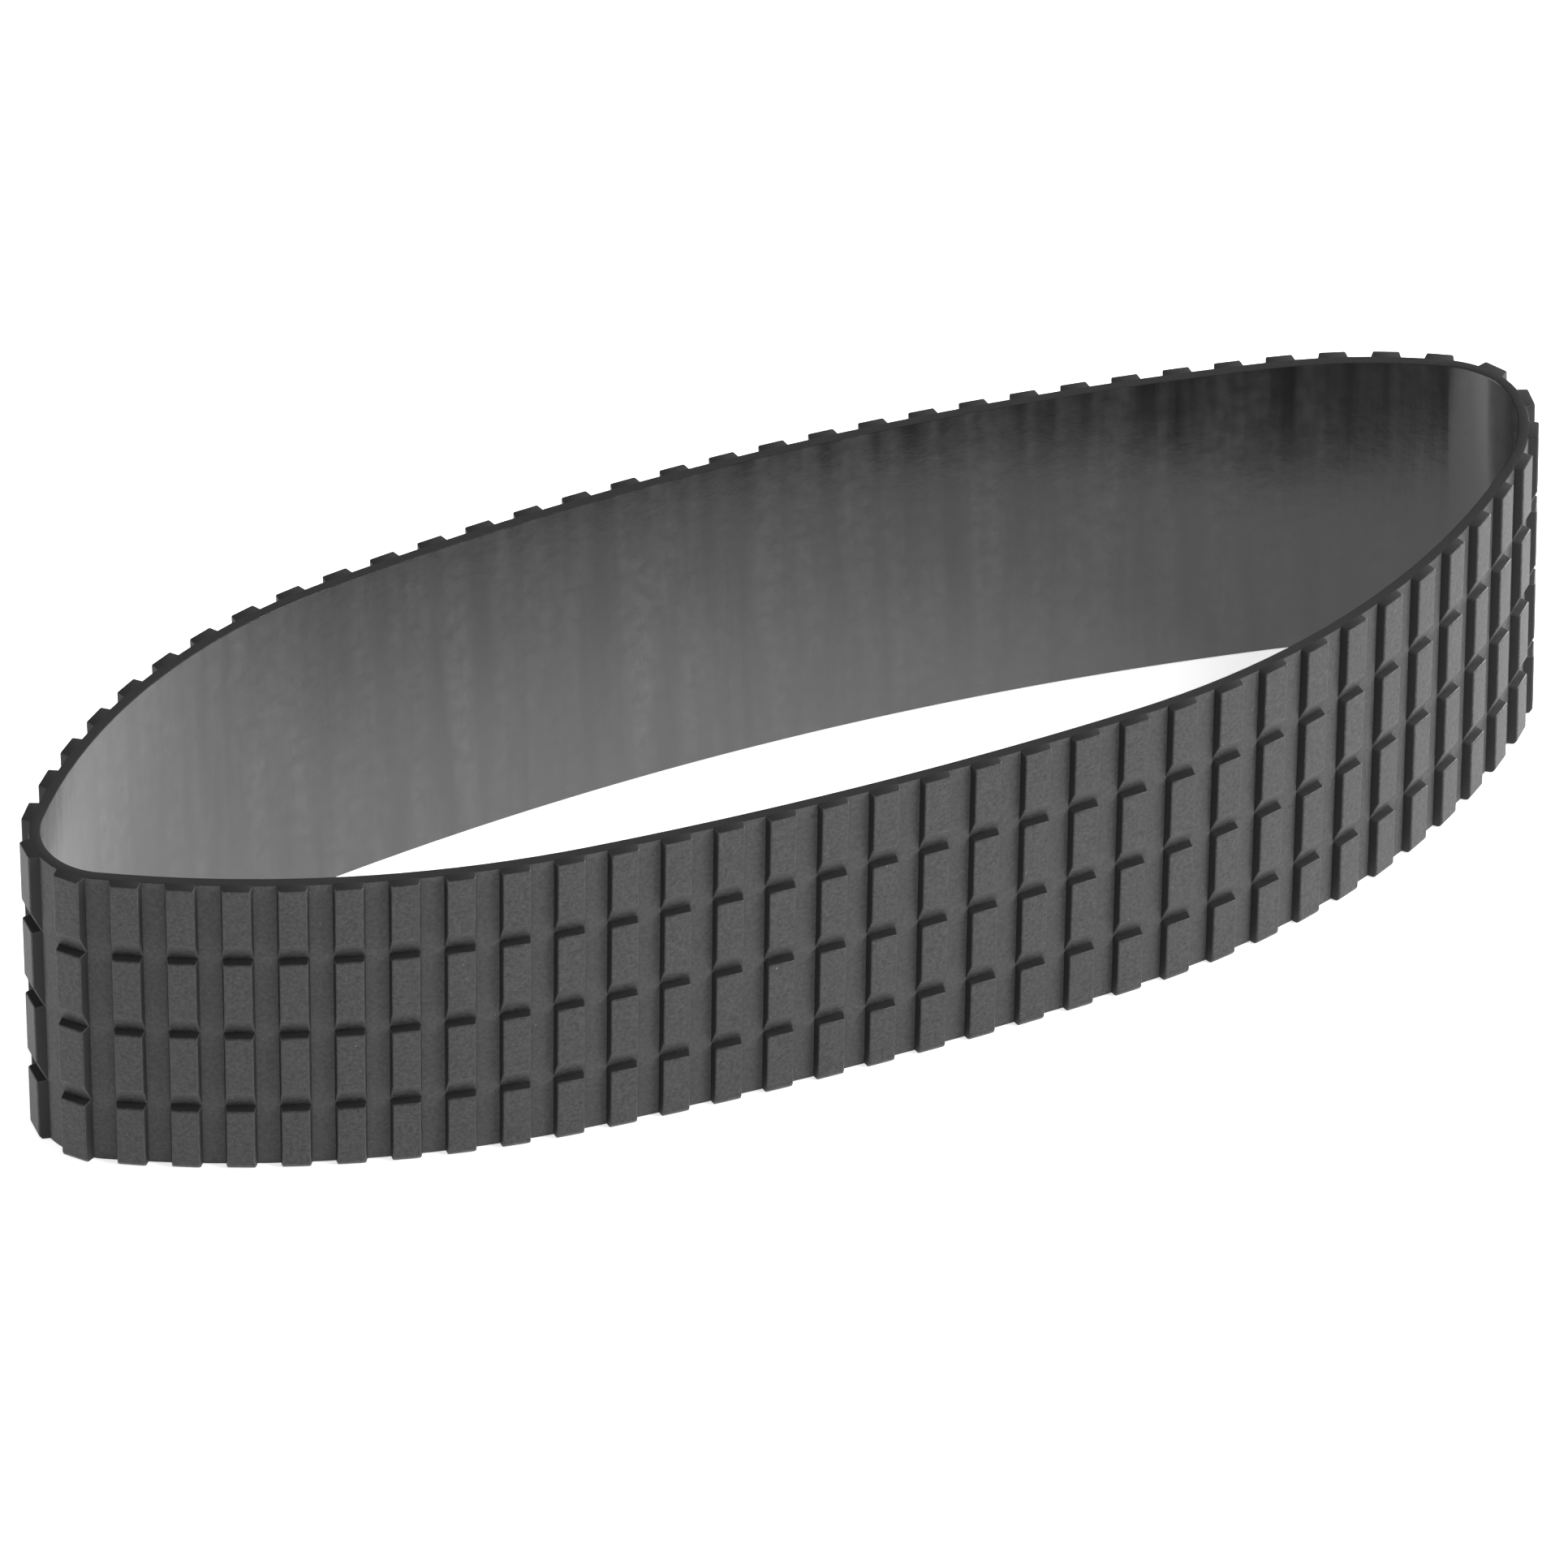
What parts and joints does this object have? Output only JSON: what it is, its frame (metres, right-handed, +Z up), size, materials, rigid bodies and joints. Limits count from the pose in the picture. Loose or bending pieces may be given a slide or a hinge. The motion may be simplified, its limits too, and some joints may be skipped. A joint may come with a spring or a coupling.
{
  "type": "lens grip ring",
  "caption": "Slip-on rubber grip ring: a thin elastic band with raised drafted grip blocks outside, squeezed into a long loop.",
  "frame": {"origin": "on the surface that the ring stands on, under the middle of its box", "axes": "+X along the long way of the squeezed loop, +Y across it, +Z up through the ring's width"},
  "size_m": [0.0874, 0.0304, 0.0184],
  "materials": {
    "band_rubber": "satin moulded, slightly glossy inside",
    "block_rubber": "fine matt moulded"
  },
  "bodies": {
    "root": {"band": "band_rubber", "block_row_1": "block_rubber", "block_row_2": "block_rubber", "block_row_3": "block_rubber", "block_row_4": "block_rubber"}
  },
  "joints": []
}
